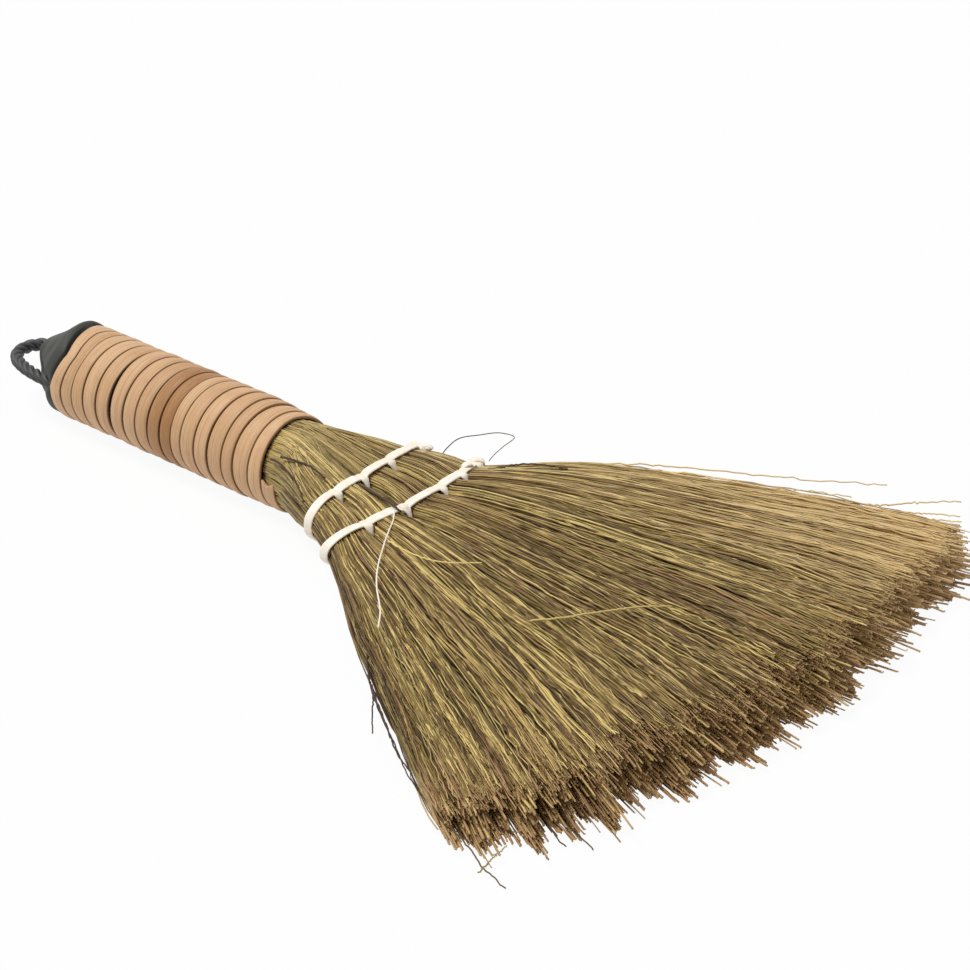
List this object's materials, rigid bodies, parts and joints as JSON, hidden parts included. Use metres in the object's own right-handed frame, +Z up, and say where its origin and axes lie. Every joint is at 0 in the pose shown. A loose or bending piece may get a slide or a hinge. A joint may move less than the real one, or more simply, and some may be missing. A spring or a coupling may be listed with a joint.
{
  "type": "hand broom",
  "caption": "Flat fan of sewn grass stalks bound into a round handle that is wound with flat strip, with a black end cap and a cord loop to hang it by.",
  "frame": {"origin": "on the resting surface, under the middle of the broom lying flat, from the hanging loop to the tips of the stalks and across the fan", "axes": "+X along the broom from the hanging loop to the tips, +Y across the fan, +Z up from the resting surface"},
  "size_m": [0.3924, 0.2643, 0.0355],
  "materials": {
    "grass_stalk": "dull dry grass stalks",
    "stalk_butts": "dull bound stalk butts",
    "light_strip": "satin split cane",
    "dark_strip": "satin split cane, darker",
    "pale_binding": "matt pale flat strip",
    "pale_thread": "matt pale thread",
    "black_rubber": "matt black",
    "black_cord": "satin black twisted cord",
    "tie_wire": "twine"
  },
  "bodies": {
    "broom": {"loop_tail_near": "black_cord", "loop_tail_far": "black_cord", "end_cap": "black_rubber", "handle_core": "stalk_butts", "inner_tie_rear": "tie_wire", "inner_tie_front": "tie_wire", "wrap_strip_rear": "light_strip", "wrap_strip_middle": "dark_strip", "wrap_strip_front": "light_strip", "bristle_clump_1": "grass_stalk", "bristle_clump_2": "grass_stalk", "bristle_clump_3": "grass_stalk", "bristle_clump_4": "grass_stalk", "bristle_clump_5": "grass_stalk", "bristle_clump_6": "grass_stalk", "first_row_hoop": "pale_binding", "second_row_hoop": "pale_binding", "first_row_stitch_1": "pale_binding", "first_row_stitch_2": "pale_binding", "first_row_stitch_3": "pale_binding", "first_row_stitch_4": "pale_binding", "second_row_stitch_1": "pale_binding", "second_row_stitch_2": "pale_binding", "second_row_stitch_3": "pale_binding", "second_row_stitch_4": "pale_binding", "second_row_stitch_5": "pale_binding", "thread_tail": "pale_thread"},
    "loop": {"hanging_loop": "black_cord"}
  },
  "joints": [
    {"name": "loop_flex", "type": "hinge", "parent": "broom", "child": "loop", "pos_m": [-0.1686, 0, 0.0175], "axis": [0, 1, 0], "range_deg": [-60, 60], "stiffness_Nm_per_rad": 0.01}
  ]
}
